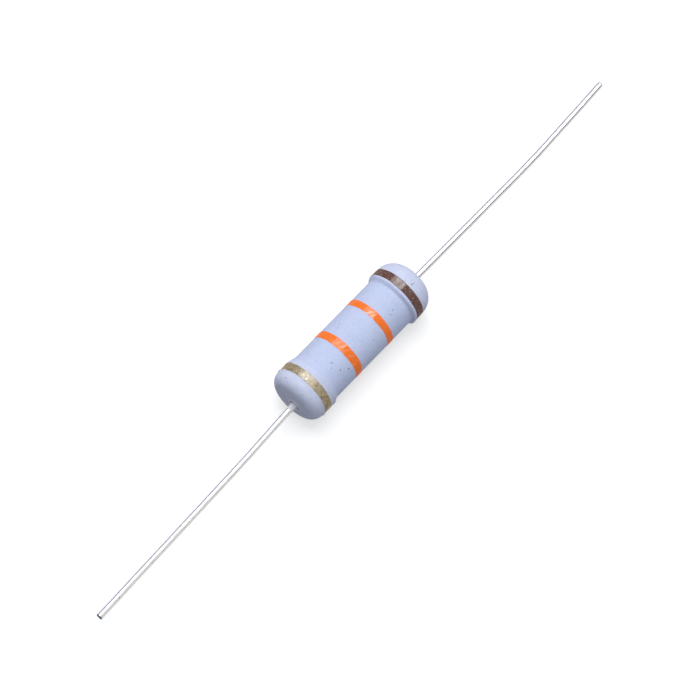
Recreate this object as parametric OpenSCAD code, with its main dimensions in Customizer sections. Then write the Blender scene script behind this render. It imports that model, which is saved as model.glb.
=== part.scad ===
// Axial power resistor: a filmed ceramic core, two pressed steel caps with welded
// leads, a flameproof paint coating and four colour bands.
// The axis lies along X, with the first band towards -X, and the part rests on Z = 0.

/* [Ceramic core] */
// Diameter of the bare ceramic rod
core_d = 6.8; // [6:0.1:7.6]
// Length of the ceramic rod
core_l = 22.4; // [20:0.1:25]

/* [Resistive film] */
// Thickness of the resistive film on the rod
film_t = 0.05; // [0.04:0.01:0.1]
// Width of the helical trimming cut through the film
cut_w = 0.4; // [0.3:0.05:0.6]
// Turns of the trimming cut
cut_turns = 7; // [4:1:9]
// Uncut film between each cap's rim and the trimming cut
cut_margin = 1; // [0.6:0.1:2]

/* [End caps] */
// Wall of the drawn steel caps
cap_wall = 0.3; // [0.25:0.05:0.4]
// Depth of each cap over its end plate
cap_l = 3.85; // [3.2:0.05:4.4]
// Outside corner radius of each cap
cap_corner_r = 1.5; // [1.1:0.05:1.7]

/* [Leads] */
// Diameter of the tinned wire
wire_d = 0.88; // [0.75:0.01:1]
// Length of the tolerance end's lead, from the paint's end face to the cut
gold_lead_l = 37.4; // [33:0.1:42]
// Length of the first band's lead, from the paint's end face to the cut
brown_lead_l = 39.7; // [33:0.1:42]
// Diameter of the weld bead that joins each lead to its cap
weld_d = 1.5; // [1.3:0.1:1.8]
// Height of the weld bead
weld_h = 0.2; // [0.15:0.01:0.22]
// Straight wire between the paint's collar and each lead's first bend
foot_l = 0.5; // [0.45:0.05:2]
// Sideways offset of the tolerance end's lead from the axis
gold_off_y = 0.39; // [0:0.01:0.45]
// Sideways offset of the first band's lead from the axis
brown_off_y = 0.17; // [0:0.01:0.4]
// Downward offset of both leads from the axis
lead_drop = 0.3; // [0:0.01:0.4]
// Angle at which the tolerance end's lead leans, in degrees
gold_lean_angle = 3.2; // [1:0.1:4]
// Direction of that lean, in degrees from straight down
gold_lean_side_angle = 37; // [0:1:60]
// Distance along the tolerance end's lead from the end face to its kink
gold_kink_at = 9.2; // [6:0.1:14]
// Angle of that kink, in degrees
gold_kink_angle = 1.3; // [0.5:0.1:4]
// Angle at which the first band's lead leans, in degrees
brown_lean_angle = 1.4; // [1:0.1:4]
// Direction of that lean, in degrees from straight down
brown_lean_side_angle = 2; // [0:1:60]
// Distance along the first band's lead from the end face to its kink
brown_kink_at = 24.2; // [15:0.1:28]
// Angle of that kink, in degrees
brown_kink_angle = 2.7; // [0.5:0.1:4]
// Chamfer on the cut end of the tolerance end's lead
tip_chamfer = 0.08; // [0.04:0.01:0.15]
// Length of the rounded end of the first band's lead
tip_round = 0.35; // [0.2:0.05:0.5]

/* [Coating] */
// Thickness of the paint over the film
coat_t = 0.25; // [0.2:0.01:0.35]
// Thickness of the paint round the side of the tolerance end's cap
gold_cap_t = 0.24; // [0.22:0.01:0.35]
// Thickness of the paint round the side of the first band's cap
brown_cap_t = 0.33; // [0.22:0.01:0.35]
// Thickness of the paint on the tolerance end's face
gold_face_t = 0.3; // [0.28:0.01:0.4]
// Thickness of the paint on the first band's end face
brown_face_t = 0.43; // [0.4:0.01:0.6]
// Length of the slope beside each cap's rim
shoulder_l = 0.5; // [0.4:0.05:1.2]
// Distance past the rim where that slope ends at the tolerance end
gold_lip = 0.4; // [0:0.05:0.5]
// Distance past the rim where that slope ends at the first band's end
brown_lip = 0.1; // [0:0.05:0.3]
// Height of the bead where the paint gathers over each cap's rim
rim_bead = 0.03; // [0.01:0.01:0.06]
// Length over which that bead dies away
rim_bead_l = 0.4; // [0.2:0.05:0.6]
// How much rounder the paint is than the cap at the first band's end
brown_round = 0.6; // [0:0.05:0.7]
// Length of paint that runs out along the tolerance end's lead
gold_collar_l = 1; // [0.8:0.1:2.5]
// Length of paint that runs out along the first band's lead
brown_collar_l = 0.6; // [0.5:0.1:2.5]
// Thickness of that paint on the wire
collar_t = 0.06; // [0.04:0.01:0.1]
// Radius of the fillet where the paint climbs each lead
collar_fillet = 0.35; // [0.25:0.05:0.5]
// Diameter of the faint ring that the weld bead raises in the face
ring_d = 2.4; // [2:0.1:2.6]
// Height of that ring
ring_h = 0.06; // [0.04:0.01:0.1]

/* [Colour bands] */
// Thickness of the band paint
band_t = 0.03; // [0.02:0.01:0.06]
// Gap between the cap's rim and the first band
brown_gap = 0.4; // [0.1:0.05:0.5]
// Width of the first band
brown_w = 1.2; // [0.8:0.05:1.4]
// Centre of the second band, measured from the middle towards the first
orange_1_at = 3.2; // [2.5:0.1:4]
// Width of the second band
orange_1_w = 1.05; // [0.8:0.05:1.4]
// Centre of the third band, measured from the middle away from the first
orange_2_at = 2.9; // [2.2:0.1:4]
// Width of the third band
orange_2_w = 1.1; // [0.8:0.05:1.4]
// Gap between the cap's rim and the tolerance band
gold_gap = 1; // [0.5:0.05:1.2]
// Width of the tolerance band
gold_w = 1.2; // [0.8:0.05:1.3]

/* [Hidden] */

$fn = 96;
arc_steps = 12;                                  // points along each corner
bead_steps = 4;                                  // points where a rim's bead dies away
film_sides = 64;                                 // flats round the faceted film
cut_sides = 32;                                  // steps in each turn of the cut

film_r = core_d / 2 + film_t;                    // over the film, and the caps' bore
cap_r = film_r + cap_wall;                       // outside of the caps
cap_inner_r = cap_corner_r - cap_wall;           // inside corner of the caps
cap_face_x = core_l / 2 + cap_wall;              // each cap's end face
rim_x = cap_face_x - cap_l;                      // each cap's rim
body_r = film_r + coat_t;                        // painted body
bulge_r = cap_r + max(gold_cap_t, brown_cap_t);  // the thicker painted cap
rest_z = bulge_r + max(band_t, rim_bead);        // axis height: the end bands touch Z = 0
gold_end = [gold_face_t, gold_lip, 0, gold_cap_t];   // face, lip, extra roundness, side
brown_end = [brown_face_t, brown_lip, brown_round, brown_cap_t];
gold_reach = cap_face_x + gold_face_t + gold_lead_l;
brown_reach = cap_face_x + brown_face_t + brown_lead_l;
mid_x = (brown_reach - gold_reach) / 2;          // puts the part's own middle on X = 0
wire_r = wire_d / 2;
weld_r = weld_d / 2;
ring_r = ring_d / 2;
ring_w = 0.24;                                   // width of the raised ring
seat = 0.04;                                     // how deep a collar or a cutter is keyed in
bend_swell = 0.01;                               // how far the wire swells at a bend

// Corner arc from the side (0 degrees) to the end face (90 degrees): centre, then radii
function corner(cr, cx, rr, rx) =
    [for (i = [0:arc_steps]) let (a = 90 * i / arc_steps) [cr + rr * cos(a), cx + rx * sin(a)]];

// Outside of a cap, from its side to its end face, as [radius, x]
function cap_corner() = corner(cap_r - cap_corner_r, cap_face_x - cap_corner_r, cap_corner_r, cap_corner_r);

function smooth(t) = t * t * (3 - 2 * t);

// Outside of the paint at one end, from the body to the axis; grow adds a skin to it
function painted_end(end, grow) =
    let (face_t = end[0], lip = end[1], round_r = cap_corner_r + end[2], cap_t = end[3],
         side_r = cap_r + cap_t + grow, top_x = rim_x + lip)
    concat(
        [for (i = [0:arc_steps]) let (t = i / arc_steps)
            [body_r + grow + (side_r + rim_bead - body_r - grow) * smooth(t),
             rim_x - shoulder_l + (shoulder_l + lip) * t]],
        [for (i = [1:bead_steps]) let (t = i / bead_steps)
            [side_r + rim_bead * (1 - smooth(t)), top_x + rim_bead_l * t]],
        corner(cap_r - round_r, cap_face_x - round_r,
               round_r + cap_t + grow, round_r + face_t + grow),
        [[0, cap_face_x + face_t + grow]]);

// Inside of the paint at one end, from the axis to the film
function covered_end() =
    concat([[0, cap_face_x]], reversed(cap_corner()), [[cap_r, rim_x], [film_r, rim_x]]);

function reversed(list) = [for (i = [len(list) - 1:-1:0]) list[i]];
function flipped(list) = [for (p = list) [p[0], -p[1]]];

// Turns a list of [radius, x] into a solid round the X axis
module spun(points) {
    rotate([0, 90, 0]) rotate_extrude() polygon(points);
}

// Puts a child made round the X axis in its place above Z = 0
module placed() {
    translate([mid_x, 0, rest_z]) children();
}

module ceramic_core() {
    edge = corner(core_d / 2 - cap_inner_r, core_l / 2 - cap_inner_r, cap_inner_r, cap_inner_r);
    color("ivory") placed()
        spun(concat([[0, -core_l / 2]], flipped(reversed(edge)), edge, [[0, core_l / 2]]));
}

// Rectangular cutter swept along the helix that trims the film
module trimming_cut() {
    run = 2 * (rim_x - cut_margin) - cut_w;
    steps = cut_turns * cut_sides;
    inner = core_d / 2 - film_t;
    outer = film_r + film_t;
    points = [for (i = [0:steps], c = [[inner, -1], [outer, -1], [outer, 1], [inner, 1]])
        let (a = 360 * i / cut_sides)
        [run * (i / steps - 0.5) + c[1] * cut_w / 2, c[0] * cos(a), c[0] * sin(a)]];
    sides = [for (i = [0:steps - 1], k = [0:3])
        [4 * i + k, 4 * i + (k + 1) % 4, 4 * i + 4 + (k + 1) % 4, 4 * i + 4 + k]];
    last = 4 * steps;
    polyhedron(points, concat([[3, 2, 1, 0]], sides, [[last, last + 1, last + 2, last + 3]]), convexity = 10);
}

module resistive_film() {
    film_l = core_l - 2 * cap_inner_r;
    // The flats of the bore lie outside the round core
    bore_r = core_d / 2 / cos(180 / film_sides);
    color("dimgray") placed() difference() {
        rotate([0, 90, 0]) cylinder(r = film_r, h = film_l, center = true, $fn = film_sides);
        rotate([0, 90, 0]) cylinder(r = bore_r, h = core_l, center = true, $fn = film_sides);
        trimming_cut();
    }
}

module end_cap() {
    bore = corner(film_r - cap_inner_r, core_l / 2 - cap_inner_r, cap_inner_r, cap_inner_r);
    spun(concat([[film_r, rim_x], [cap_r, rim_x]], cap_corner(), [[0, cap_face_x], [0, core_l / 2]],
                reversed(bore)));
}

module end_cap_gold() {
    color("silver") placed() end_cap();
}

module end_cap_brown() {
    color("silver") placed() mirror([1, 0, 0]) end_cap();
}

// Bead of metal where a lead is welded to its cap, on the cap's face; back runs it into the cap
module weld_bead(back = 0) {
    spun([[0, -back], [weld_r, -back], [weld_r, weld_h / 2], [wire_r, weld_h], [0, weld_h]]);
}

module wire(l) {
    rotate([0, 90, 0]) cylinder(r = wire_r, h = l);
}

// Bends a wire that runs along +X by angle; side turns the bend from straight down
module bent(angle, side) {
    rotate([0, 90, 0]) sphere(r = wire_r + bend_swell);
    rotate([side, 0, 0]) rotate([0, angle, 0]) rotate([-side, 0, 0]) children();
}

// Sheared end, with a small chamfer
module cut_tip() {
    spun([[0, 0], [wire_r, 0], [wire_r, tip_chamfer], [wire_r - tip_chamfer, 2 * tip_chamfer],
          [0, 2 * tip_chamfer]]);
}

module rounded_tip() {
    spun(concat([[0, 0]], corner(0, 0, wire_r, tip_round)));
}

// Lead from its weld outwards along +X: a straight foot, a lean (angle and side), a kink, then the tip
module lead(l, face_t, collar_l, lean, kink_at, kink, tip_l) {
    foot = collar_l + foot_l;
    inner_run = kink_at - foot;
    outer_run = l - kink_at - tip_l;
    weld_bead();
    wire(face_t + foot);
    translate([face_t + foot, 0, 0]) bent(lean[0], lean[1]) {
        wire(inner_run);
        translate([inner_run, 0, 0]) bent(kink, -90) {
            wire(outer_run);
            translate([outer_run, 0, 0]) children();
        }
    }
}

// Foot of the tolerance end's lead, on its cap
module at_gold_foot() {
    translate([cap_face_x, gold_off_y, -lead_drop]) children();
}

// Foot of the first band's lead, on its cap
module at_brown_foot() {
    mirror([1, 0, 0]) translate([cap_face_x, brown_off_y, -lead_drop]) children();
}

module lead_gold() {
    lean = [gold_lean_angle, gold_lean_side_angle];
    color("gainsboro") placed() at_gold_foot()
        lead(gold_lead_l, gold_face_t, gold_collar_l, lean, gold_kink_at, gold_kink_angle, 2 * tip_chamfer)
            cut_tip();
}

module lead_brown() {
    lean = [brown_lean_angle, brown_lean_side_angle];
    color("gainsboro") placed() at_brown_foot()
        lead(brown_lead_l, brown_face_t, brown_collar_l, lean, brown_kink_at, brown_kink_angle, tip_round)
            rounded_tip();
}

// Paint outside, filled solid; grow adds a skin to it
module painted(grow = 0) {
    spun(concat(flipped(reversed(painted_end(brown_end, grow))), painted_end(gold_end, grow)));
}

// What the paint covers: the filmed core inside its two caps
module covered() {
    spun(concat(reversed(covered_end()), flipped(covered_end())));
}

// Paint that climbs a lead out of an end face, and the ring round its foot
module collar(l) {
    skin_r = wire_r + collar_t;
    fillet = [for (i = [0:arc_steps]) let (a = 90 * i / arc_steps)
        [skin_r + collar_fillet * (1 - sin(a)), collar_fillet * (1 - cos(a))]];
    spun(concat([[0, -seat], [ring_r + ring_w / 2, -seat], [ring_r + ring_w / 2, 0], [ring_r, ring_h],
                 [ring_r - ring_w / 2, 0]], fillet,
                [[skin_r, (collar_fillet + l) / 2], [wire_r + collar_t / 4, l], [0, l]]));
}

// Room in the paint for a weld bead and its wire, open to the space for the cap
module lead_hole(face_t, collar_l) {
    weld_bead(seat);
    wire(face_t + collar_l + foot_l);
}

module coating() {
    color("lightsteelblue") placed() difference() {
        union() {
            painted();
            at_gold_foot() translate([gold_face_t, 0, 0]) collar(gold_collar_l);
            at_brown_foot() translate([brown_face_t, 0, 0]) collar(brown_collar_l);
        }
        covered();
        at_gold_foot() lead_hole(gold_face_t, gold_collar_l);
        at_brown_foot() lead_hole(brown_face_t, brown_collar_l);
    }
}

// Ring of band paint on the coating, from x to x + w
module band(x, w) {
    placed() difference() {
        intersection() {
            painted(band_t);
            translate([x, -2 * bulge_r, -2 * bulge_r]) cube([w, 4 * bulge_r, 4 * bulge_r]);
        }
        painted();
    }
}

module band_brown() {
    color("saddlebrown") band(-rim_x - brown_gap - brown_w, brown_w);
}

module band_orange_1() {
    color("darkorange") band(-orange_1_at - orange_1_w / 2, orange_1_w);
}

module band_orange_2() {
    color("darkorange") band(orange_2_at - orange_2_w / 2, orange_2_w);
}

module band_gold() {
    color("darkkhaki") band(rim_x + gold_gap, gold_w);
}

ceramic_core();
resistive_film();
end_cap_brown();
end_cap_gold();
lead_brown();
lead_gold();
coating();
band_brown();
band_orange_1();
band_orange_2();
band_gold();
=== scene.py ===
"""Axial power resistor: a lavender painted body, four colour bands and two tinned wires, on a pale floor."""
import math

import bmesh
import bpy
from mathutils import Matrix, Vector, noise


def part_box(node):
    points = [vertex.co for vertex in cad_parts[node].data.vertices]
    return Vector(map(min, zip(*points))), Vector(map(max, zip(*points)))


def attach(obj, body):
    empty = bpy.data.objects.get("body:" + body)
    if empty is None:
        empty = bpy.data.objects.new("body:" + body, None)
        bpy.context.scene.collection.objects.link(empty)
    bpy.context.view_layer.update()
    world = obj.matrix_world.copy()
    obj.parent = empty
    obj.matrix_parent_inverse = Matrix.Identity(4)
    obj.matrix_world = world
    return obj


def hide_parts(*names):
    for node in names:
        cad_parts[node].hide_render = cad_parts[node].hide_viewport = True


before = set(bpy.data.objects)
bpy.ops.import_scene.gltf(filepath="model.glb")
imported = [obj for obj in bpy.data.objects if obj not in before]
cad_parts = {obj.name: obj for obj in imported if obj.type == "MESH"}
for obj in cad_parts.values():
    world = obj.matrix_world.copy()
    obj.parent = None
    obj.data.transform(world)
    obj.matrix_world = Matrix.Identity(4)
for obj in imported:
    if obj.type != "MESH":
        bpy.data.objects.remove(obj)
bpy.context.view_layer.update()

MM = 0.001
X_AXIS = Vector((1, 0, 0))

# Small sizes of the solids, which their boxes don't give
BAND_SKIN = 0.03 * MM
RIM_BEAD = 0.03 * MM
RIM_BEAD_L = 0.4 * MM
WIRE_R = 0.44 * MM
CAP_CORNER_R = 1.5 * MM
FOOT_DROP = 0.3 * MM

# Places and sizes taken from the frame
core_low, core_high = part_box("ceramic_core")
MIDDLE = (core_low + core_high) / 2
CAP_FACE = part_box("end_cap_gold")[1].x - MIDDLE.x
CAP_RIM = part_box("end_cap_gold")[0].x - MIDDLE.x
CAP_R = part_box("end_cap_gold")[1].z - MIDDLE.z
BODY_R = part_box("band_orange_1")[1].z - MIDDLE.z - BAND_SKIN
GOLD_SIDE_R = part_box("band_gold")[1].z - MIDDLE.z - BAND_SKIN
BROWN_SIDE_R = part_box("coating")[1].z - MIDDLE.z - RIM_BEAD
SHEAR_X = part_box("lead_gold")[1].x

# The paint at each end. Over the cap: its radius, its thickness on the face, how much rounder its corner
# is than the cap's, and the power of that corner's curve, which is 2 for an ellipse. The slope at the
# cap's rim: where it starts before the rim and ends past it, how much farther it ends on the side turned
# to SOFT_TURN, where it also starts SPREAD_BEFORE of that earlier, and the height of the ridge on top of
# it round RIDGE_TURN. At the wire: how far the paint climbs it, and how far the wire stands beside the
# body's axis.
GOLD_END = {"sign": 1, "side_r": GOLD_SIDE_R, "face_t": 0.3 * MM, "round": 0.0, "square": 2.25,
            "start": 0.5 * MM, "lip": 0.3 * MM, "spread": 0.8 * MM, "ridge": 0.035 * MM,
            "collar": 0.98 * MM, "foot_y": 0.39 * MM}
BROWN_END = {"sign": -1, "side_r": BROWN_SIDE_R, "face_t": 0.43 * MM, "round": 0.6 * MM, "square": 2.0,
             "start": 0.36 * MM, "lip": 0.09 * MM, "spread": 0.3 * MM, "ridge": 0.06 * MM,
             "collar": 0.45 * MM, "foot_y": 0.17 * MM}
SOFT_TURN = math.radians(-90)
SPREAD_BEFORE = 0.6
RIDGE_TURN = math.radians(70)
RIDGE_W = 0.17 * MM
ENDS = (GOLD_END, BROWN_END)
for end in ENDS:
    end["face_x"] = CAP_FACE + end["face_t"]
    end["corner_x"] = CAP_FACE - CAP_CORNER_R - end["round"]
    end["foot"] = MIDDLE + Vector((end["sign"] * end["face_x"], end["foot_y"], -FOOT_DROP))

# Steps of the turned meshes
BODY_TURNS = 256
BODY_STEP = 0.1 * MM
CORNER_STEPS = 22
FACE_STEPS = 34
FOOT_TURNS = 96
CONE_STEPS = 12
BAND_STEPS = 10
WIRE_TURNS = 40
WIRE_STEP = 0.35 * MM
TIP_STEPS = 8
MERGE_DISTANCE = 1e-8


# Shapes

def smooth(share):
    """0 to 1 with no slope at either end."""
    share = min(max(share, 0.0), 1.0)
    return share * share * (3 - 2 * share)


def on_side(turn, side):
    """1 at the side's turn, falling smoothly to 0 at the opposite one."""
    return ((1 + math.cos(turn - side)) / 2) ** 2


def ripple(turn, seed, waves):
    """Noise that closes on itself round a turn, from about -1 to 1."""
    return noise.noise(Vector((waves * math.cos(turn), waves * math.sin(turn), seed)))


def paint_radius(x, turn):
    """The paint's nominal radius at x from the middle, between the rounded ends."""
    end = GOLD_END if x > 0 else BROWN_END
    spread = end["spread"] * on_side(turn, SOFT_TURN)
    past_rim = abs(x) - CAP_RIM
    top = end["lip"] + spread
    start = end["start"] + SPREAD_BEFORE * spread
    rise = smooth((past_rim + start) / (start + top))
    fall = smooth((past_rim - top) / RIM_BEAD_L)
    ridge = end["ridge"] * on_side(turn, RIDGE_TURN) * math.exp(-((past_rim - top) / RIDGE_W) ** 2)
    return BODY_R + (end["side_r"] + RIM_BEAD - BODY_R) * rise - RIM_BEAD * fall + ridge


# Lumps of the brushed paint: how wide, how high, and a shift that keeps their patterns apart
LUMPS = ((4.5 * MM, 0.018 * MM, Vector((0, 0, 0))),
         (1.5 * MM, 0.006 * MM, Vector((7, 3, 5))),
         (0.45 * MM, 0.0015 * MM, Vector((2, 9, 4))))


def lumps(place):
    """How far the brushed paint stands out at a place, in metres."""
    return sum(height * noise.noise(place / width + shift) for width, height, shift in LUMPS)


def turned(outline, centre, turns, closed=False):
    """Turns an outline of (x, radius) round an axis along X through centre."""
    bm = bmesh.new()
    verts = [bm.verts.new(centre + Vector((x, 0, r))) for x, r in outline]
    pairs = list(zip(verts, verts[1:])) + ([(verts[-1], verts[0])] if closed else [])
    edges = [bm.edges.new(pair) for pair in pairs]
    bmesh.ops.spin(bm, geom=verts + edges, cent=centre, axis=X_AXIS, angle=2 * math.pi, steps=turns,
                   use_merge=True, use_duplicate=False)
    bmesh.ops.remove_doubles(bm, verts=bm.verts, dist=MERGE_DISTANCE)
    bmesh.ops.recalc_face_normals(bm, faces=bm.faces)
    return bm


def piece(name, bm, material, node):
    """Makes a finished piece that stands for a CAD node and rides on the one body."""
    mesh = bpy.data.meshes.new(name)
    bm.to_mesh(mesh)
    bm.free()
    for polygon in mesh.polygons:
        polygon.use_smooth = True
    mesh.materials.append(material)
    made = bpy.data.objects.new(name, mesh)
    bpy.context.scene.collection.objects.link(made)
    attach(made, "root")
    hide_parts(node)
    return made


# Pits in the paint: millimetres along the body, degrees round it, radius in mm
PITS = [(5.5, 20, 0.14), (5.2, 44, 0.17), (4.2, 56, 0.18), (4.2, 64, 0.11), (5.3, 74, 0.14), (6.0, 27, 0.1),
        (-4.9, 38, 0.13), (-5.5, 34, 0.12), (0.6, -30, 0.11), (1.2, -24, 0.09), (0.5, 34, 0.09),
        (-6.3, 8, 0.08), (-0.9, 50, 0.09), (-9.75, 25, 0.16), (-9.95, 26, 0.11), (-10.15, 26, 0.09),
        (-10.2, 19, 0.1), (10.9, -28, 0.12), (4.9, -100, 0.13), (-5.6, 150, 0.14), (1.0, 120, 0.12),
        (8.3, 160, 0.13), (-2.0, -140, 0.11), (-10.0, -110, 0.12)]

# How a pit is formed, in radii of the pit: its depth, how far its shape and its finer faces reach, and
# how fast the hollow and the painted shade that darkens it fade outwards
PIT_DEPTH = 0.9
PIT_REACH = 2.0
PIT_FINE_REACH = 3.0
PIT_FADE = 3.0
PIT_SHADE_FADE = 2.0


def pit_centre(x, turn):
    """Where a pit sits on the paint, on the side or on the rounded corner of an end."""
    end = GOLD_END if x > 0 else BROWN_END
    r = paint_radius(x, turn)
    past_corner = abs(x) - end["corner_x"]
    if past_corner > 0:
        corner_r = CAP_CORNER_R + end["round"]
        share = 1 - (past_corner / (corner_r + end["face_t"])) ** end["square"]
        centre_r = CAP_R - corner_r
        r = centre_r + (end["side_r"] - centre_r) * share ** (1 / end["square"])
    return MIDDLE + Vector((x, r * math.sin(turn), r * math.cos(turn)))


def cut_pits(bm):
    """Sinks the pits into the paint, with finer faces round each, and marks them for painted shade in the
    finish.
    """
    mark = bm.verts.layers.float.new("pit")
    for along, degrees, size in PITS:
        centre = pit_centre(along * MM, math.radians(degrees))
        radius = size * MM
        close = {vert for vert in bm.verts if (vert.co - centre).length < PIT_FINE_REACH * radius}
        edges = [edge for edge in bm.edges if edge.verts[0] in close and edge.verts[1] in close]
        bmesh.ops.subdivide_edges(bm, edges=edges, cuts=2, use_grid_fill=True)
        bm.normal_update()
        for vert in bm.verts:
            away = (vert.co - centre).length / radius
            if away < PIT_REACH:
                # Painted shade: this mark makes the finish darken the paint in each pit's hollow
                vert[mark] = max(vert[mark], math.exp(-PIT_SHADE_FADE * away * away))
                vert.co -= vert.normal * PIT_DEPTH * radius * math.exp(-PIT_FADE * away * away)


# The paint round a lead's foot: a low crater that isn't quite centred on the wire, with a step up
# outside, a lip and a sunken floor. Its edge is a little out of round, and its lip is uneven. The lip
# is lightened as a painted highlight, and the floor is darkened as painted shade.
CRATER_R = 1.1 * MM
CRATER_H = 0.1 * MM
CRATER_STEP = 0.08 * MM
CRATER_LIP = 0.1 * MM
CRATER_SLOPE = 0.2 * MM
CRATER_DEPTH = 0.07 * MM
CRATER_SHIFT = Vector((0, 0.12 * MM, 0.12 * MM))
CRATER_OUT_OF_ROUND = 0.07
CRATER_UNEVEN = 0.4
CRATER_EDGE_RIPPLE = {"seed": 8, "waves": 1.3}
CRATER_LIP_RIPPLE = {"seed": 3, "waves": 1.6}
CRATER_LIP_HIGHLIGHT = 0.9
CRATER_SHADE = 0.1

# What of the end's mesh is near enough to a lead's foot to be shaped: along the body and across it
FOOT_NEAR_X = 0.3 * MM
FOOT_NEAR_R = 2 * CRATER_R


def foot_height(offset):
    """How far the paint round a lead stands out of the end face, at an offset from the wire's foot."""
    inside = offset - CRATER_SHIFT
    turn = math.atan2(inside.y, inside.z)
    radius = CRATER_R * (1 + CRATER_OUT_OF_ROUND * ripple(turn, **CRATER_EDGE_RIPPLE))
    edge = radius - math.hypot(inside.y, inside.z)
    height = CRATER_H * (1 + CRATER_UNEVEN * ripple(turn, **CRATER_LIP_RIPPLE))
    floor = smooth((edge - CRATER_STEP - CRATER_LIP) / CRATER_SLOPE)
    return height * smooth(edge / CRATER_STEP) - (height + CRATER_DEPTH) * floor


def raise_craters(bm):
    """Shapes the paint round the leads' feet, and marks the lips for a painted highlight and the sunken
    floors for painted shade.
    """
    shaded = bm.verts.layers.float["pit"]
    pale = bm.verts.layers.float.new("pale")
    for end in ENDS:
        for vert in bm.verts:
            offset = vert.co - end["foot"]
            if abs(offset.x) < FOOT_NEAR_X and math.hypot(offset.y, offset.z) < FOOT_NEAR_R:
                height = foot_height(offset)
                vert.co.x += end["sign"] * height
                # Painted highlight: the lip is marked to be painted paler
                vert[pale] = CRATER_LIP_HIGHLIGHT * smooth(height / CRATER_H)
                # Painted shade: the sunken floor is marked to be painted darker
                vert[shaded] = CRATER_SHADE * smooth(-height / CRATER_DEPTH)


# The cone of paint that climbs a lead: the root that closes it inside the body, its radius at the top
# of that root and how deep that lies, its thickness on the wire, and the length of its curve, which is
# no more than a share of the collar. Its edge on the wire is ragged, and it swells a little.
CONE_BORE_R = 0.9 * WIRE_R
CONE_ROOT_R = 0.6 * MM
CONE_ROOT = [(-0.5 * MM, CONE_BORE_R), (-0.35 * MM, CONE_ROOT_R), (-0.22 * MM, CONE_ROOT_R)]
CONE_BASE_R = 0.58 * MM
CONE_SUNK = 0.2 * MM
CONE_T = 0.05 * MM
CONE_CURVE_L = 0.4 * MM
CONE_CURVE_SHARE = 0.7
CONE_CURVE_POWER = 1.8
CONE_RAGGED = 0.3
CONE_RAGGED_SEED = 3
CONE_RAGGED_WAVES = 1.2
CONE_SWELL = 0.02 * MM
CONE_SWELL_W = 0.4 * MM
CONE_PALE = 1.0


def cone_outline(end):
    """The cone of paint on a lead, from inside the body to where it thins out, as (x, radius)."""
    points = list(CONE_ROOT)
    curve = min(CONE_CURVE_L, CONE_CURVE_SHARE * end["collar"])
    sleeve_r = WIRE_R + CONE_T
    for step in range(CONE_STEPS + 1):
        share = step / CONE_STEPS
        radius = sleeve_r + (CONE_BASE_R - sleeve_r) * (1 - share) ** CONE_CURVE_POWER
        points.append((-CONE_SUNK + (curve + CONE_SUNK) * share, radius))
    for step in range(1, CONE_STEPS + 1):
        share = step / CONE_STEPS
        points.append((curve + (end["collar"] - curve) * share, WIRE_R + CONE_T * (1 - share ** 2)))
    return points + [(end["collar"], CONE_BORE_R)]


def add_cone(bm, end):
    """Adds the cone of paint round the foot of one lead to the body's mesh."""
    outline = [(end["sign"] * x, r) for x, r in cone_outline(end)]
    cone = turned(outline, end["foot"], FOOT_TURNS, closed=True)
    for vert in cone.verts:
        offset = vert.co - end["foot"]
        along = max(offset.x * end["sign"], 0.0)
        turn = math.atan2(offset.y, offset.z)
        reach = smooth(along / end["collar"])
        edge = ripple(turn, CONE_RAGGED_SEED + end["sign"], CONE_RAGGED_WAVES)
        ragged = CONE_RAGGED * end["collar"] * edge
        vert.co.x += end["sign"] * reach * ragged
        swell = CONE_SWELL * (1 - reach) * noise.noise(vert.co / CONE_SWELL_W)
        vert.co += Vector((0, offset.y, offset.z)).normalized() * swell
    mesh = bpy.data.meshes.new("cone")
    cone.to_mesh(mesh)
    cone.free()
    bm.from_mesh(mesh)
    bpy.data.meshes.remove(mesh)


def end_outline(end):
    """One rounded end, from where its corner starts to the axis, as (x, radius)."""
    corner_r = CAP_CORNER_R + end["round"]
    centre_r = CAP_R - corner_r
    radial = end["side_r"] - centre_r
    axial = corner_r + end["face_t"]
    power = 2 / end["square"]
    arc = []
    for step in range(1, CORNER_STEPS + 1):
        angle = math.pi / 2 * step / CORNER_STEPS
        x = end["corner_x"] + axial * math.sin(angle) ** power
        arc.append((end["sign"] * x, centre_r + radial * max(math.cos(angle), 0.0) ** power))
    face = [(end["sign"] * end["face_x"], centre_r * (1 - step / FACE_STEPS))
            for step in range(1, FACE_STEPS + 1)]
    return arc + face


def painted_body(material):
    """The paint over the whole body, with its slopes, lumps, pits, and what it does at each lead."""
    start, stop = -BROWN_END["corner_x"], GOLD_END["corner_x"]
    count = round((stop - start) / BODY_STEP)
    side = [(start + (stop - start) * step / count, BROWN_SIDE_R) for step in range(count + 1)]
    outline = list(reversed(end_outline(BROWN_END))) + side + end_outline(GOLD_END)
    bm = turned(outline, MIDDLE, BODY_TURNS)
    for vert in bm.verts:
        offset = vert.co - MIDDLE
        x = offset.x
        radial = Vector((0, offset.y, offset.z))
        if start <= x <= stop:
            turn = math.atan2(offset.y, offset.z)
            vert.co = MIDDLE + X_AXIS * x + radial.normalized() * paint_radius(x, turn)
    bm.normal_update()
    for vert in bm.verts:
        vert.co += vert.normal * lumps(vert.co)
    cut_pits(bm)
    raise_craters(bm)
    body_verts = len(bm.verts)
    for end in ENDS:
        add_cone(bm, end)
    pale = bm.verts.layers.float["pale"]
    bm.verts.ensure_lookup_table()
    for vert in bm.verts[body_verts:]:
        vert[pale] = CONE_PALE
    return piece("painted_body", bm, material, "coating")


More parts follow.
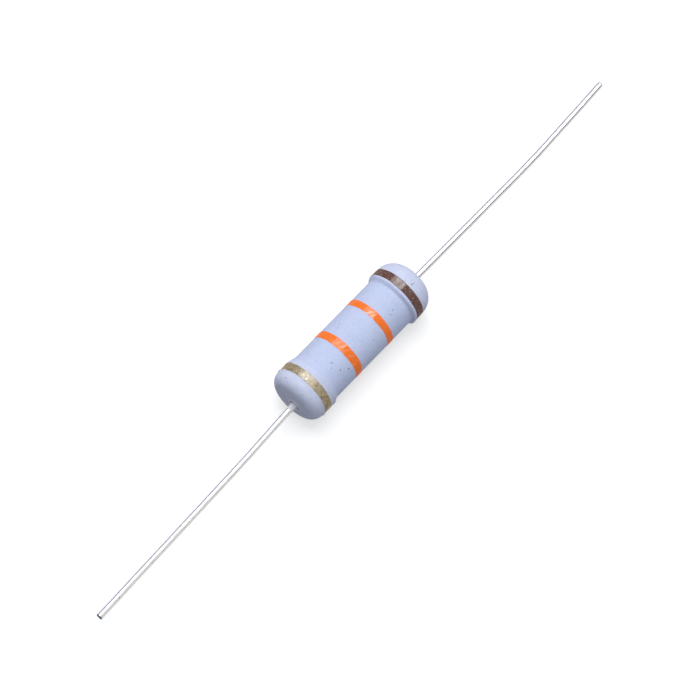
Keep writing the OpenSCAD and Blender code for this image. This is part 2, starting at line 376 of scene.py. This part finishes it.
# The printed rings: their rounded edges, as (inset, height over the paint), how deep they are sunk into
# the paint, and how far their edges wander, in broad waves and finer ones. Each ring has a seed, and the
# seed's steps give its finer waves and its second edge patterns of their own. A swollen ring is widest at
# SWELL_TURN.
BAND_EDGE = 0.05 * MM
BAND_SHOULDER = [(0, 0.3 * BAND_SKIN), (BAND_EDGE / 2, 0.85 * BAND_SKIN)]
BAND_SINK = 0.03 * MM
BAND_WANDER = 0.05 * MM
BAND_FINE = 0.35
BROAD_WAVES = 2.5
FINE_WAVES = 11
FINE_SEED_STEP = 9
EDGE_SEED_STEP = 5
SWELL_TURN = math.radians(18)


def band_outline(x0, x1):
    """A ring's section, with its rounded edges, as (x, height over the paint)."""
    flat = x1 - x0 - 2 * BAND_EDGE
    top = [(x0 + BAND_EDGE + flat * step / BAND_STEPS, BAND_SKIN) for step in range(BAND_STEPS + 1)]
    rise = [(x0 + inset, lift) for inset, lift in BAND_SHOULDER]
    fall = [(x1 - inset, lift) for inset, lift in reversed(BAND_SHOULDER)]
    return [(x0, -BAND_SINK), *rise, *top, *fall, (x1, -BAND_SINK)]


def edge_wander(turn, seed):
    """How far a ring's edge strays along the body at a turn."""
    broad = ripple(turn, seed, BROAD_WAVES)
    fine = ripple(turn, seed + FINE_SEED_STEP, FINE_WAVES)
    return BAND_WANDER * (broad + BAND_FINE * fine)


def band(name, node, material, seed, swell=0.0):
    """One printed ring: its edges wander, and it lies on the paint's own lumps."""
    low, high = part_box(node)
    x0, x1 = low.x - MIDDLE.x, high.x - MIDDLE.x
    outline = [(x, BROWN_SIDE_R + lift) for x, lift in band_outline(x0, x1)]
    bm = turned(outline, MIDDLE, BODY_TURNS, closed=True)
    for vert in bm.verts:
        offset = vert.co - MIDDLE
        lift = math.hypot(offset.y, offset.z) - BROWN_SIDE_R
        turn = math.atan2(offset.y, offset.z)
        share = (offset.x - x0) / (x1 - x0)
        wider = swell * math.cos(turn - SWELL_TURN) / 2
        low_edge = edge_wander(turn, seed) - wider
        high_edge = edge_wander(turn, seed + EDGE_SEED_STEP) + wider
        x = offset.x + (1 - share) * low_edge + share * high_edge
        outward = Vector((0, math.sin(turn), math.cos(turn)))
        place = MIDDLE + X_AXIS * x + outward * paint_radius(x, turn)
        vert.co = place + outward * (lumps(place) + lift)
    bmesh.ops.recalc_face_normals(bm, faces=bm.faces)
    return piece(name, bm, material, node)


# The leads: how far along each one leans and kinks, the slopes of its centre line past those places,
# towards +Y and +Z for the lean and +Y for the kink, and the length over which the kink is spread
GOLD_LEAD = {"node": "lead_gold", "end": GOLD_END, "length": 37.4 * MM, "lean_at": 1.5 * MM,
             "lean": (0.0336, -0.0447), "kink_at": 9.2 * MM, "kink": -0.0227, "soft": 2.0 * MM}
BROWN_LEAD = {"node": "lead_brown", "end": BROWN_END, "length": 39.7 * MM, "lean_at": 1.1 * MM,
              "lean": (0.0009, -0.0244), "kink_at": 24.2 * MM, "kink": -0.0472, "soft": 3.5 * MM}
LEAD_BURIED = 0.4 * MM
LEAN_SOFT = 1.2 * MM

# The slight sway that a straightened wire keeps: its size, its wave's length, where it is full, and the
# places in the noise that the sway towards +Y and the one towards +Z are read from
SWAY = 0.035 * MM
SWAY_L = 7 * MM
SWAY_START = 5 * MM
SWAY_SEEDS = ((2, 1), (8, 4))

# The ends of the wires: one cut square, with a small burr rolled over its edge, and one dipped in tin
SHEARED_TIP = [(0.05 * MM, 1.01 * WIRE_R), (0.1 * MM, 0.97 * WIRE_R), (0.13 * MM, 0.88 * WIRE_R),
               (0.12 * MM, 0.6 * WIRE_R), (0.13 * MM, 0)]
DIPPED_TIP_L = 0.35 * MM

# A dark nick near the sheared end
NICK_BACK = 3.5 * MM
NICK_TURN = math.radians(44)
NICK_R = 0.15 * MM


def bend(past, soft):
    """Distance past a bend, with the bend itself spread over a soft length each way."""
    if past <= -soft:
        return 0.0
    if past >= soft:
        return past
    return (past + soft) ** 2 / (4 * soft)


def lead_offset(lead, along):
    """Where a lead's centre lies beside its foot, at a distance along it."""
    leaning = bend(along - lead["lean_at"], LEAN_SOFT)
    kinked = bend(along - lead["kink_at"], lead["soft"])
    sway_y, sway_z = (noise.noise(Vector((along / SWAY_L, *seed))) for seed in SWAY_SEEDS)
    sway = Vector((0, sway_y, sway_z)) * (SWAY * smooth(along / SWAY_START))
    lean_y, lean_z = lead["lean"]
    return Vector((0, lean_y * leaning + lead["kink"] * kinked, lean_z * leaning)) + sway


def wire(name, lead, tip, material):
    """One drawn wire from inside the body to its tip, bent along its centre line."""
    end = lead["end"]
    shaft = lead["length"] - tip[-1][0]
    count = round(shaft / WIRE_STEP)
    outline = [(-LEAD_BURIED, 0), (-LEAD_BURIED, WIRE_R)]
    outline += [(shaft * step / count, WIRE_R) for step in range(count + 1)]
    outline += [(shaft + x, r) for x, r in tip]
    bm = turned([(end["sign"] * x, r) for x, r in outline], end["foot"], WIRE_TURNS)
    for vert in bm.verts:
        along = (vert.co.x - end["foot"].x) * end["sign"]
        vert.co += lead_offset(lead, max(along, 0.0))
    return piece(name, bm, material, lead["node"])


def wire_side(lead, along, turn):
    """A place on a lead's surface, at a distance along it and a turn round it."""
    end = lead["end"]
    outward = Vector((0, math.sin(turn), math.cos(turn))) * WIRE_R
    return end["foot"] + X_AXIS * end["sign"] * along + lead_offset(lead, along) + outward


def dipped_tip():
    """A tip that the tin has rounded."""
    angles = [math.pi / 2 * step / TIP_STEPS for step in range(1, TIP_STEPS + 1)]
    return [(DIPPED_TIP_L * math.sin(angle), WIRE_R * math.cos(angle)) for angle in angles]


# Materials

class Value:
    """A number that varies over a surface. Python's operators add Math nodes to it."""

    def __init__(self, finish, socket):
        self.finish = finish
        self.socket = socket

    def maths(self, operation, first, second=None):
        """Adds a Math node."""
        inputs = {0: first} if second is None else {0: first, 1: second}
        return self.finish.node("ShaderNodeMath", {"operation": operation}, inputs)

    def __add__(self, other):
        return self.maths("ADD", self, other)

    def __radd__(self, other):
        return self.maths("ADD", other, self)

    def __rsub__(self, other):
        return self.maths("SUBTRACT", other, self)

    def __mul__(self, other):
        return self.maths("MULTIPLY", self, other)

    def __rmul__(self, other):
        return self.maths("MULTIPLY", other, self)

    def __abs__(self):
        return self.maths("ABSOLUTE", self)

    def or_higher(self, other):
        """The higher of two numbers at each point."""
        return self.maths("MAXIMUM", self, other)

    def above(self, level, width):
        """0 under the level and 1 above it, with a soft step of the width between."""
        settings = {"interpolation_type": "SMOOTHSTEP"}
        inputs = {"Value": self, "From Min": level - width / 2, "From Max": level + width / 2}
        return self.finish.node("ShaderNodeMapRange", settings, inputs)


# Where the gloss is half lost as a surface turns from square on, which is 0, to edge on, which is 1, and
# the width over which it is lost
LOW_ANGLE = 0.25
LOW_ANGLE_W = 0.36


class Finish:
    """One material, its nodes and its Principled shader."""

    def __init__(self, name):
        self.material = bpy.data.materials.new(name)
        self.material.use_nodes = True
        self.nodes = self.material.node_tree.nodes
        self.links = self.material.node_tree.links
        self.shader = self.nodes["Principled BSDF"]

    def node(self, kind, settings=None, inputs=None, output=0):
        """Adds a node, sets it up, fills its sockets with values or links, and gives one output."""
        made = self.nodes.new(kind)
        for key, value in (settings or {}).items():
            setattr(made, key, value)
        for key, value in (inputs or {}).items():
            self.fill(made.inputs[key], value)
        return Value(self, made.outputs[output])

    def fill(self, socket, value):
        """Links a value to a socket, or sets the socket to a number, a colour or a vector."""
        if isinstance(value, Value):
            self.links.new(value.socket, socket)
        elif socket.type == "RGBA" and len(value) == 3:
            socket.default_value = (*value, 1.0)
        else:
            socket.default_value = value

    def set(self, **inputs):
        """Fills the Principled shader's sockets, which are named with underscores."""
        for key, value in inputs.items():
            self.fill(self.shader.inputs[key.replace("_", " ")], value)

    def coordinates(self):
        """Object coordinates, which all the patterns follow."""
        return self.node("ShaderNodeTexCoord", output="Object")

    def place(self, centre=(0, 0, 0), scale=(1, 1, 1)):
        """Object coordinates, measured from a centre and stretched."""
        shift = tuple(-c * s for c, s in zip(centre, scale))
        inputs = {"Vector": self.coordinates(), "Location": shift, "Scale": scale}
        return self.node("ShaderNodeMapping", None, inputs)

    def slanted(self, degrees, stretch):
        """Object coordinates turned about the vertical, then squeezed so that patterns stretch."""
        turn = {"Vector": self.coordinates(), "Rotation": (0, 0, math.radians(degrees))}
        squeeze = {"Vector": self.node("ShaderNodeMapping", None, turn), "Scale": (1 / stretch, 1, 1)}
        return self.node("ShaderNodeMapping", None, squeeze)

    def along(self, centre=(0, 0, 0)):
        """The distance along the body from a centre."""
        return self.node("ShaderNodeSeparateXYZ", None, {0: self.place(centre)}, "X")

    def near(self, centre, radius):
        """1 within half a radius of a place, and 0 beyond one and a half."""
        away = {0: self.coordinates(), 1: centre}
        distance = self.node("ShaderNodeVectorMath", {"operation": "DISTANCE"}, away, "Value")
        return 1 - distance.above(radius, radius)

    def mark(self, name):
        """A number from 0 to 1 that the piece's own mesh carries."""
        return self.node("ShaderNodeAttribute", {"attribute_name": name}, output="Fac")

    def noise(self, where, size, detail=2.0, rough=0.5):
        """Noise whose features are about a size across, in metres."""
        inputs = {"Vector": where, "Scale": 1 / size, "Detail": detail, "Roughness": rough}
        return self.node("ShaderNodeTexNoise", None, inputs)

    def cells(self, where, size, output="Distance"):
        """Cells about a size across: the distance from their middles, or a colour of their own."""
        return self.node("ShaderNodeTexVoronoi", None, {"Vector": where, "Scale": 1 / size}, output)

    def facing(self):
        """1 where the gloss is seen square on, 0 where it is seen from a low angle."""
        away = self.node("ShaderNodeLayerWeight", None, {"Blend": 0.5}, "Facing")
        return 1 - away.above(LOW_ANGLE, LOW_ANGLE_W)

    def mix(self, share, first, second, blend="MIX"):
        """A colour between two others."""
        settings = {"data_type": "RGBA", "blend_type": blend}
        return self.node("ShaderNodeMix", settings, {0: share, 6: first, 7: second}, 2)

    def bump(self, height, depth, strength=1.0):
        """A normal from a height from 0 to 1 that stands for a depth in metres."""
        inputs = {"Height": height, "Distance": depth, "Strength": strength}
        return self.node("ShaderNodeBump", None, inputs)


LAVENDER = (0.568, 0.648, 0.868)
LAVENDER_WARM = (0.585, 0.625, 0.845)
LAVENDER_DEEP = (0.500, 0.585, 0.815)
LAVENDER_CAP = (0.652, 0.688, 0.868)
MOTTLE = (0.885, 0.905, 0.940)
# Paler thin paint on the lead cones, and a painted highlight on the crater lips
THIN_PAINT_AND_LIP_HIGHLIGHT = (0.820, 0.820, 0.850)
# Dark specks, and the painted shade in the pits and the crater floors
DUST_AND_SHADE = (0.16, 0.17, 0.22)


def body_paint():
    """Satin flameproof paint: faint clouds, a dry fine grain, a few dark specks, paler over the caps, with
    painted shade in the pits and crater floors and a painted highlight on the crater lips.
    """
    look = Finish("body_paint")
    where = look.place()
    clouds = look.noise(where, 4.0 * MM, detail=3.0)
    patches = look.noise(where, 0.9 * MM, detail=3.0, rough=0.6)
    grain = look.noise(where, 0.14 * MM, detail=3.0, rough=0.65)
    peel = look.noise(where, 0.5 * MM)
    tint = look.noise(where, 0.22 * MM, rough=0.6)
    rare = look.noise(where, 2.3 * MM, detail=0.0).above(0.58, 0.04)
    specks = (1 - look.cells(where, 1.3 * MM).above(0.085, 0.04)) * rare
    over_cap = abs(look.along(tuple(MIDDLE))).above(CAP_RIM + 0.3 * MM, 0.8 * MM)
    colour = look.mix(clouds.above(0.5, 0.5), LAVENDER, LAVENDER_WARM)
    colour = look.mix(over_cap, colour, LAVENDER_CAP)
    colour = look.mix(patches.above(0.6, 0.3) * 0.45, colour, LAVENDER_DEEP)
    colour = look.mix(tint.above(0.5, 0.36) * 0.7, colour, MOTTLE, "MULTIPLY")
    # Paler thin paint on the lead cones, and a painted highlight on the crater lips
    colour = look.mix(look.mark("pale"), colour, THIN_PAINT_AND_LIP_HIGHLIGHT)
    colour = look.mix(specks * 0.6, colour, DUST_AND_SHADE)
    # Painted shade in the pits and the crater floors
    colour = look.mix(look.mark("pit") * 0.75, colour, DUST_AND_SHADE)
    look.set(Base_Color=colour, Roughness=0.56 + 0.16 * grain, Specular_IOR_Level=0.2,
             Normal=look.bump(grain * 0.6 + peel * 0.4, 0.1 * MM))
    return look.material


ORANGE = (0.970, 0.190, 0.018)
ORANGE_THIN_AND_HIGHLIGHT = (1.000, 0.520, 0.400)
BRUSHED = 27


def orange_enamel():
    """Glossy enamel, brushed on at a slant, so that its shine breaks into streaks, with the base colour
    paled along them as a painted highlight.
    """
    look = Finish("orange_enamel")
    strokes = look.noise(look.slanted(BRUSHED, 7), 0.4 * MM, rough=0.6)
    streaks = look.noise(look.slanted(BRUSHED, 9), 0.34 * MM, detail=1.0).above(0.61, 0.07)
    thin = look.noise(look.place(), 0.8 * MM, detail=3.0, rough=0.6)
    # Painted highlight: the base colour is paled along the gloss streaks, and a little in thin patches
    colour = look.mix(streaks * 0.18 + 0.08 * thin.above(0.6, 0.2), ORANGE, ORANGE_THIN_AND_HIGHLIGHT)
    gloss = (0.15 + 0.85 * look.facing()) * (0.36 + 0.64 * streaks)
    look.set(Base_Color=colour, Roughness=0.5, Specular_IOR_Level=0.1,
             Coat_Weight=gloss, Coat_Roughness=0.05, Coat_IOR=1.75,
             Normal=look.bump(strokes * 0.8 + thin * 0.2, 0.06 * MM, 0.8))
    return look.material


BROWN = (0.118, 0.048, 0.035)
BROWN_FLECK = (0.550, 0.450, 0.430)


def brown_enamel():
    """Dark brown enamel, glossy in patches and a little paler in them, with pale flecks scattered over it.
    """
    look = Finish("brown_enamel")
    where = look.place(scale=(0.7, 1, 1))
    patches = look.noise(where, 0.7 * MM, detail=3.0, rough=0.6)
    flecks = look.noise(where, 0.17 * MM, rough=0.6).above(0.63, 0.06)
    ripples = look.noise(where, 0.4 * MM, detail=3.0, rough=0.65)
    colour = look.mix(0.6 * flecks + 0.06 * patches.above(0.55, 0.3), BROWN, BROWN_FLECK)
    gloss = (0.1 + 0.9 * look.facing()) * (0.6 + 0.4 * patches.above(0.5, 0.15))
    look.set(Base_Color=colour, Roughness=0.5, Specular_IOR_Level=0.1,
             Coat_Weight=gloss, Coat_Roughness=0.07, Coat_IOR=1.65,
             Normal=look.bump(ripples, 0.08 * MM, 0.8))
    return look.material


GOLD = (0.410, 0.320, 0.168)
GOLD_LIGHT = (0.850, 0.780, 0.620)
GOLD_DARK = (0.215, 0.170, 0.102)
GOLD_SHEEN = (1.000, 0.880, 0.640)


def gold_enamel():
    """Gold enamel: a soft metallic sheen, cloudy, with a few bright flakes under a clear binder."""
    look = Finish("gold_enamel")
    where = look.place()
    flake = look.node("ShaderNodeSeparateColor", None, {0: look.cells(where, 0.14 * MM, "Color")}, "Red")
    clouds = look.noise(where, 0.6 * MM, detail=4.0, rough=0.65)
    bright = flake.above(0.955, 0.03)
    colour = look.mix(clouds.above(0.5, 0.35), GOLD_DARK, GOLD)
    colour = look.mix(bright * 0.5, colour, GOLD_LIGHT)
    gloss = look.facing() * (0.75 + 0.25 * clouds.above(0.5, 0.2))
    look.set(Base_Color=colour, Metallic=0.05 + 0.5 * bright, Roughness=0.36 - 0.1 * bright + 0.12 * clouds,
             Specular_IOR_Level=0.1, Specular_Tint=GOLD_SHEEN,
             Coat_Weight=gloss, Coat_Roughness=0.36, Coat_IOR=1.85,
             Normal=look.bump(clouds * 0.75 + flake * 0.25, 0.04 * MM, 0.8))
    return look.material


TIN = (0.640, 0.635, 0.620)
TIN_DULL = (0.470, 0.465, 0.430)
TIN_EDGE = (0.780, 0.800, 0.900)
SHEARED = (0.090, 0.105, 0.130)


def tinned_wire(nick):
    """Bright tin, drawn lengthwise, with a few duller clouds, a nick and one dark sheared end."""
    look = Finish("tinned_wire")
    clouds = look.noise(look.place(), 1.5 * MM, detail=3.0, rough=0.6)
    lines = look.noise(look.place(scale=(0.03, 1, 1)), 0.06 * MM, detail=3.0, rough=0.6)
    lumpy = look.noise(look.place(scale=(0.4, 1, 1)), 0.8 * MM, detail=1.0)
    dull = clouds.above(0.6, 0.3)
    ragged = 0.25 * MM * look.noise(look.place(), 0.4 * MM, detail=1.0)
    sheared = (look.along() + ragged).above(SHEAR_X + 0.02 * MM, 0.05 * MM)
    nicked = 0.4 * look.near(nick, NICK_R)
    colour = look.mix(dull * 0.5, TIN, TIN_DULL)
    colour = look.mix(sheared.or_higher(nicked), colour, SHEARED)
    look.set(Base_Color=colour, Metallic=1 - 0.4 * sheared, Specular_Tint=TIN_EDGE,
             Roughness=0.2 + 0.14 * dull + 0.06 * lines + 0.3 * sheared,
             Normal=look.bump(lines * 0.3 + lumpy * 0.7, 0.02 * MM, 0.7))
    return look.material


STEEL = (0.58, 0.58, 0.57)
STEEL_RING = (0.70, 0.70, 0.68)


def cap_steel():
    """Tin-plated steel with rings left by the drawing die."""
    look = Finish("cap_steel")
    rings = look.noise(look.place(scale=(1, 0.05, 0.05)), 0.08 * MM)
    colour = look.mix(rings, STEEL, STEEL_RING)
    look.set(Base_Color=colour, Metallic=1.0, Roughness=0.28 + 0.1 * rings,
             Normal=look.bump(rings, 0.005 * MM, 0.5))
    return look.material


ALUMINA = (0.74, 0.72, 0.66)
ALUMINA_PALE = (0.86, 0.84, 0.78)


def alumina():
    """Fired alumina with a fine dry grain."""
    look = Finish("alumina")
    grain = look.noise(look.place(), 0.08 * MM, detail=4.0, rough=0.7)
    colour = look.mix(grain, ALUMINA, ALUMINA_PALE)
    look.set(Base_Color=colour, Roughness=0.6 + 0.15 * grain, Normal=look.bump(grain, 0.01 * MM, 0.6))
    return look.material


OXIDE = (0.05, 0.05, 0.06)
OXIDE_PALE = (0.12, 0.12, 0.14)


def oxide_film():
    """Dark metal-oxide film with a faint sheen."""
    look = Finish("oxide_film")
    grain = look.noise(look.place(), 0.12 * MM, detail=3.0, rough=0.6)
    colour = look.mix(grain, OXIDE, OXIDE_PALE)
    look.set(Base_Color=colour, Metallic=0.2, Roughness=0.32 + 0.15 * grain,
             Normal=look.bump(grain, 0.003 * MM, 0.5))
    return look.material


# Camera: the body's axis slants up to the right and turns away from the picture's plane
AXIS_SLANT = math.radians(45.78)
AXIS_AWAY = math.radians(19.0)
CAMERA_DISTANCE = 415 * MM
LENS = 164.6
SENSOR = 36.0
CLIP = (0.01, 20)
PICTURE = 700
BODY_PIXEL = (352.9, 339.7)
BODY_CENTRE = MIDDLE + X_AXIS * (GOLD_END["face_x"] - BROWN_END["face_x"]) / 2


def place_camera():
    """Looks down on the lying body so that its axis shows the slant and the turn above."""
    height = math.atan2(math.cos(AXIS_AWAY) * math.sin(AXIS_SLANT), math.sin(AXIS_AWAY))
    along = math.cos(AXIS_AWAY) * math.cos(AXIS_SLANT)
    across = math.sqrt(1 - along * along)
    right = Vector((-along, across, 0))
    ahead = Vector((-across, -along, 0))
    up = ahead * math.sin(height) + Vector((0, 0, math.cos(height)))
    back = right.cross(up)
    pixel = CAMERA_DISTANCE * SENSOR / LENS / PICTURE
    aside, below = (PICTURE / 2 - middle for middle in BODY_PIXEL)
    shift = (right * aside - up * below) * pixel
    data = bpy.data.cameras.new("camera")
    data.sensor_width = SENSOR
    data.lens = LENS
    data.clip_start, data.clip_end = CLIP
    camera = bpy.data.objects.new("camera", data)
    bpy.context.scene.collection.objects.link(camera)
    turn = Matrix((right, up, back)).transposed().to_4x4()
    camera.matrix_world = Matrix.Translation(BODY_CENTRE + shift + back * CAMERA_DISTANCE) @ turn
    bpy.context.scene.camera = camera


# Lamps, each as its direction from the body, its size across and along the body, watts and colour
WHITE = (1, 1, 1)
KEY_DISTANCE = 0.5
KEY = ((-0.2, -0.17, 0.97), (0.47, 0.32), 2.0, WHITE)

# Fill lamps that leave no highlight
FILL_DISTANCE = 0.6
FILLS = {"right_fill": ((-0.35, 1.0, 0.45), (0.4, 0.4), 0.47, WHITE),
         "left_fill": ((-0.2, -1.0, 0.6), (0.4, 0.4), 0.3, WHITE)}

# Cards that only the metallic finishes see, as a reflection
CARD_DISTANCE = 0.6
CARDS = {"warm_card": ((0.08, 0.81, 0.59), (0.58, 0.5), 0.72, (1, 0.97, 0.91)),
         "blue_card": ((0, -0.94, 0.34), (0.44, 0.9), 0.55, (0.42, 0.46, 1)),
         "far_card": ((-0.56, 0.05, 0.82), (0.62, 0.34), 2.2, WHITE)}
WORLD = (0.345, 0.360, 0.385)


def area_lamp(name, distance, towards, size, watts, colour):
    """A soft rectangle of light that faces the body."""
    data = bpy.data.lights.new(name, "AREA")
    data.shape = "RECTANGLE"
    data.size, data.size_y = size
    data.energy = watts
    data.color = colour
    lamp = bpy.data.objects.new(name, data)
    bpy.context.scene.collection.objects.link(lamp)
    back = Vector(towards).normalized()
    side = X_AXIS.cross(back).normalized()
    turn = Matrix((side, back.cross(side), back)).transposed().to_4x4()
    lamp.matrix_world = Matrix.Translation(BODY_CENTRE + back * distance) @ turn
    return lamp


def light_the_studio(metallic):
    """One large key lamp, two weak fills, the cards for the metallic pieces, and a grey world."""
    area_lamp("key_light", KEY_DISTANCE, *KEY)
    for name, lamp in FILLS.items():
        area_lamp(name, FILL_DISTANCE, *lamp).visible_glossy = False
    for name, lamp in CARDS.items():
        card = area_lamp(name, CARD_DISTANCE, *lamp)
        card.visible_diffuse = False
        card.light_linking.receiver_collection = metallic
    world = bpy.data.worlds.new("studio")
    bpy.context.scene.world = world
    world.use_nodes = True
    world.node_tree.nodes["Background"].inputs["Color"].default_value = (*WORLD, 1)


FLOOR_SIZE = 4
FLOOR_DULL = (0.25, 0.25, 0.25)
FLOOR_WHITE = (0.5, 0.5, 0.5)
FLOOR_GLOW = (0.6, 0.6, 0.6)
NO_GLOW = (0, 0, 0)


def pale_floor():
    """A white floor that shows the part's shadow and throws little light back."""
    bpy.ops.mesh.primitive_plane_add(size=FLOOR_SIZE)
    floor = bpy.context.object
    floor.name = "floor"
    look = Finish("floor_white")
    camera, glossy, through = (look.node("ShaderNodeLightPath", output=f"Is {kind} Ray")
                               for kind in ("Camera", "Glossy", "Transmission"))
    seen = camera.or_higher(glossy.or_higher(through))
    look.set(Base_Color=look.mix(seen, FLOOR_DULL, FLOOR_WHITE), Roughness=1.0, Specular_IOR_Level=0.0,
             Emission_Color=look.mix(seen, NO_GLOW, FLOOR_GLOW), Emission_Strength=1.0)
    floor.data.materials.append(look.material)


def finish_inner_nodes():
    """Gives the rod, the film and the caps, which keep their CAD shapes, their materials."""
    steel = cap_steel()
    inner = {"ceramic_core": alumina(), "resistive_film": oxide_film(),
             "end_cap_brown": steel, "end_cap_gold": steel}
    for name, material in inner.items():
        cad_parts[name].material_slots[0].material = material


def outer_pieces():
    """Makes the paint, the rings and the wires, and returns the metallic ones as a collection."""
    painted_body(body_paint())
    band("brown_ring", "band_brown", brown_enamel(), seed=21)
    orange = orange_enamel()
    band("orange_ring_1", "band_orange_1", orange, seed=33)
    band("orange_ring_2", "band_orange_2", orange, seed=47, swell=0.15 * MM)
    tin = tinned_wire(wire_side(GOLD_LEAD, GOLD_LEAD["length"] - NICK_BACK, NICK_TURN))
    metallic = bpy.data.collections.new("metallic")
    metallic.objects.link(band("gold_ring", "band_gold", gold_enamel(), seed=58))
    metallic.objects.link(wire("gold_end_wire", GOLD_LEAD, SHEARED_TIP, tin))
    metallic.objects.link(wire("brown_end_wire", BROWN_LEAD, dipped_tip(), tin))
    return metallic


place_camera()
finish_inner_nodes()
light_the_studio(outer_pieces())
pale_floor()
bpy.context.scene.view_settings.view_transform = "Standard"
